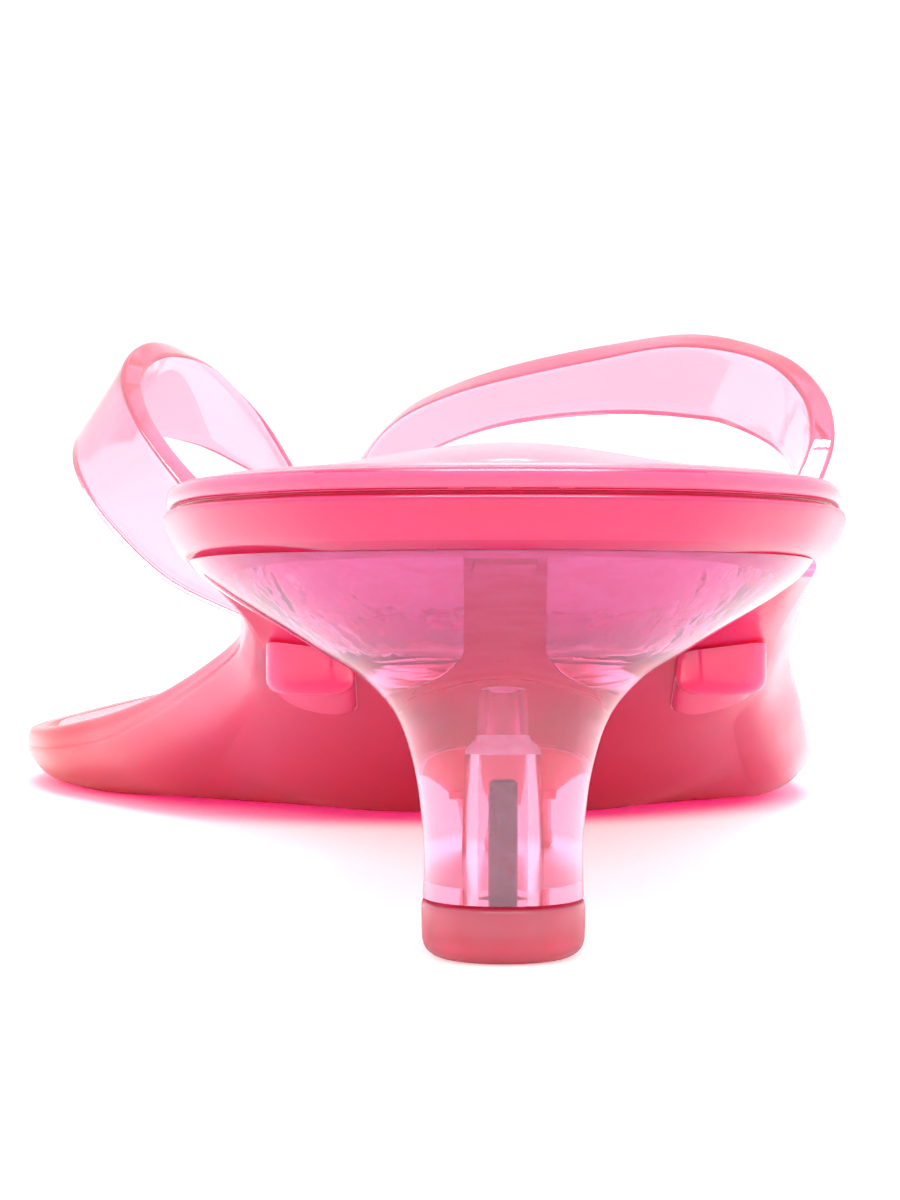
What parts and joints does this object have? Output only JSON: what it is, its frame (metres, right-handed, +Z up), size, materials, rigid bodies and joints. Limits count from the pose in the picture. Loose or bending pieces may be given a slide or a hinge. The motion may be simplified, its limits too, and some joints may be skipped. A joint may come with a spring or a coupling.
{
  "type": "kitten heel flip-flop",
  "caption": "Right-foot thong sandal in translucent pink jelly plastic: arched sole with a lipped edge, cushioned insole, flat straps on a toe post, low clear flared heel with a coral tip.",
  "frame": {"origin": "on the floor, under the middle of the shoe's box", "axes": "+Y from heel to toe, +X towards the little-toe side, +Z up from the floor"},
  "size_m": [0.0902, 0.2418, 0.0517],
  "materials": {
    "translucent_pink_pvc": "glossy translucent moulded PVC, deep pink where it is thick",
    "pale_pink_cushion_pvc": "soft satin translucent PVC pad, pale pink",
    "clear_pink_strap_pvc": "glossy clear pink moulded PVC, stronger pink at its edges",
    "clear_pink_heel_plastic": "polished clear pink moulded plastic",
    "dowel_steel": "dull grey steel",
    "coral_lift_plastic": "satin coral-pink translucent plastic"
  },
  "bodies": {
    "root": {"sole": "translucent_pink_pvc", "insole": "pale_pink_cushion_pvc", "upper": "clear_pink_strap_pvc", "heel": "clear_pink_heel_plastic", "heel_pin": "dowel_steel", "top_lift": "coral_lift_plastic"}
  },
  "joints": []
}
